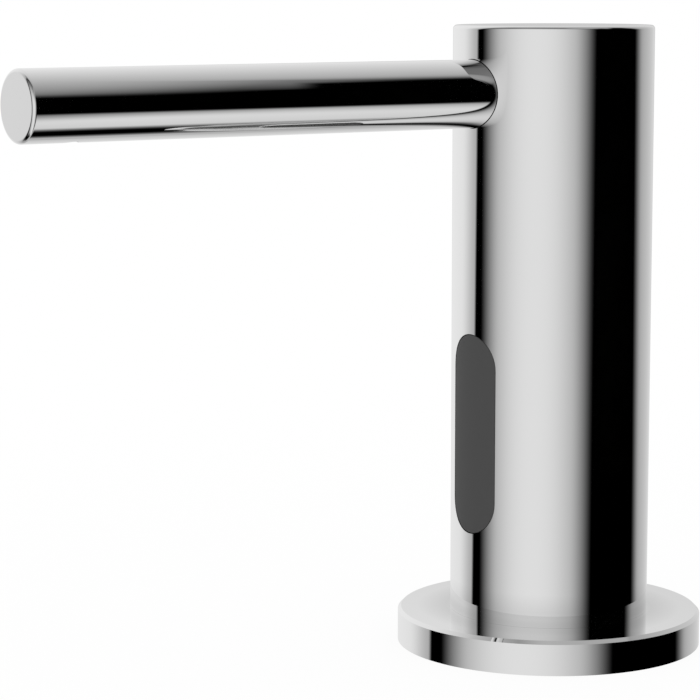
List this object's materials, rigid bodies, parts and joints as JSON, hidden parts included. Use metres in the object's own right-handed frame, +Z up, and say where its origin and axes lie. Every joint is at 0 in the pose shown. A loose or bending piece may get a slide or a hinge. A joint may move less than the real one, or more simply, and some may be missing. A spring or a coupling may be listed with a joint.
{
  "type": "automatic soap dispenser",
  "caption": "Deck-mounted sensor soap dispenser: round chrome column on a base flange, level spout with an outlet under its end, dark sensor window in front.",
  "frame": {"origin": "centre of the base flange's underside, on the deck surface and on the column's axis", "axes": "+Z up along the column's axis; -Y forward, the way the spout and the sensor window point; +X to the right when looking along +Y"},
  "size_m": [0.069, 0.1684, 0.213],
  "materials": {
    "chrome": "polished chrome plate on brass",
    "window": "dark grey infrared-pass acrylic, smooth",
    "brass": "machined, unplated",
    "steel": "stamped or turned stainless steel",
    "rubber": "moulded black rubber",
    "white_plastic": "moulded acetal",
    "black_plastic": "moulded black nylon",
    "silicone": "translucent silicone tube",
    "clear_plastic": "clear epoxy lens",
    "circuit_board": "green solder mask",
    "lead_insulation": "red insulation"
  },
  "bodies": {
    "dispenser": {"column_shell": "chrome", "base_flange": "chrome", "spout_tube": "chrome", "nozzle_insert": "chrome", "sensor_lens": "window", "base_plug": "brass", "mounting_shank": "brass", "spout_saddle": "brass", "spout_nut": "brass", "lower_pillars": "brass", "upper_pillars": "brass", "flange_screws": "steel", "sensor_board_screws": "steel", "pump_bracket": "steel", "upper_bracket": "steel", "pump_screws": "steel", "idler_pin": "steel", "motor_can": "steel", "motor_screws": "steel", "board_screws": "steel", "deck_gasket": "rubber", "lead_grommet": "rubber", "sensor_gasket": "rubber", "shaft_seal": "rubber", "duckbill_valve": "rubber", "pump_cover": "white_plastic", "pump_body": "white_plastic", "nozzle_block": "white_plastic", "board_spacers": "white_plastic", "board_connectors": "white_plastic", "shank_end_cap": "black_plastic", "inlet_spigot": "black_plastic", "sensor_housing": "black_plastic", "board_chip": "black_plastic", "board_capacitor": "black_plastic", "ir_receiver": "black_plastic", "outlet_tube": "silicone", "inlet_tube": "silicone", "ir_emitter": "clear_plastic", "indicator_lamp": "clear_plastic", "sensor_board": "circuit_board", "control_board": "circuit_board", "sensor_lead": "lead_insulation", "motor_leads": "lead_insulation"},
    "drive": {"motor_shaft": "steel", "drive_gear": "white_plastic"},
    "idler": {"idler_gear": "white_plastic"},
    "clamp_washers": {"rubber_washer": "rubber", "steel_washer": "steel"},
    "clamp_nut": {"mounting_nut": "brass"}
  },
  "joints": [
    {"name": "motor_spin", "type": "hinge", "parent": "dispenser", "child": "drive", "pos_m": [0, 0.00699, 0.0271], "axis": [0, 0, 1], "continuous": true},
    {"name": "idler_spin", "type": "hinge", "parent": "dispenser", "child": "idler", "pos_m": [0, -0.00001, 0.0271], "axis": [0, 0, 1], "continuous": true},
    {"name": "clamp_travel", "type": "slide", "parent": "dispenser", "child": "clamp_washers", "axis": [0, 0, 1], "range_m": [-0.0201, 0.0181]},
    {"name": "nut_turn", "type": "hinge", "parent": "clamp_washers", "child": "clamp_nut", "pos_m": [0, 0, -0.03], "axis": [0, 0, 1], "range_deg": [-4800, 4320]}
  ],
  "couplings": [
    {"joint": "idler_spin", "follows": "motor_spin", "ratio": -1},
    {"joint": "clamp_travel", "follows": "nut_turn", "m_per_rad": 0.00023873}
  ]
}
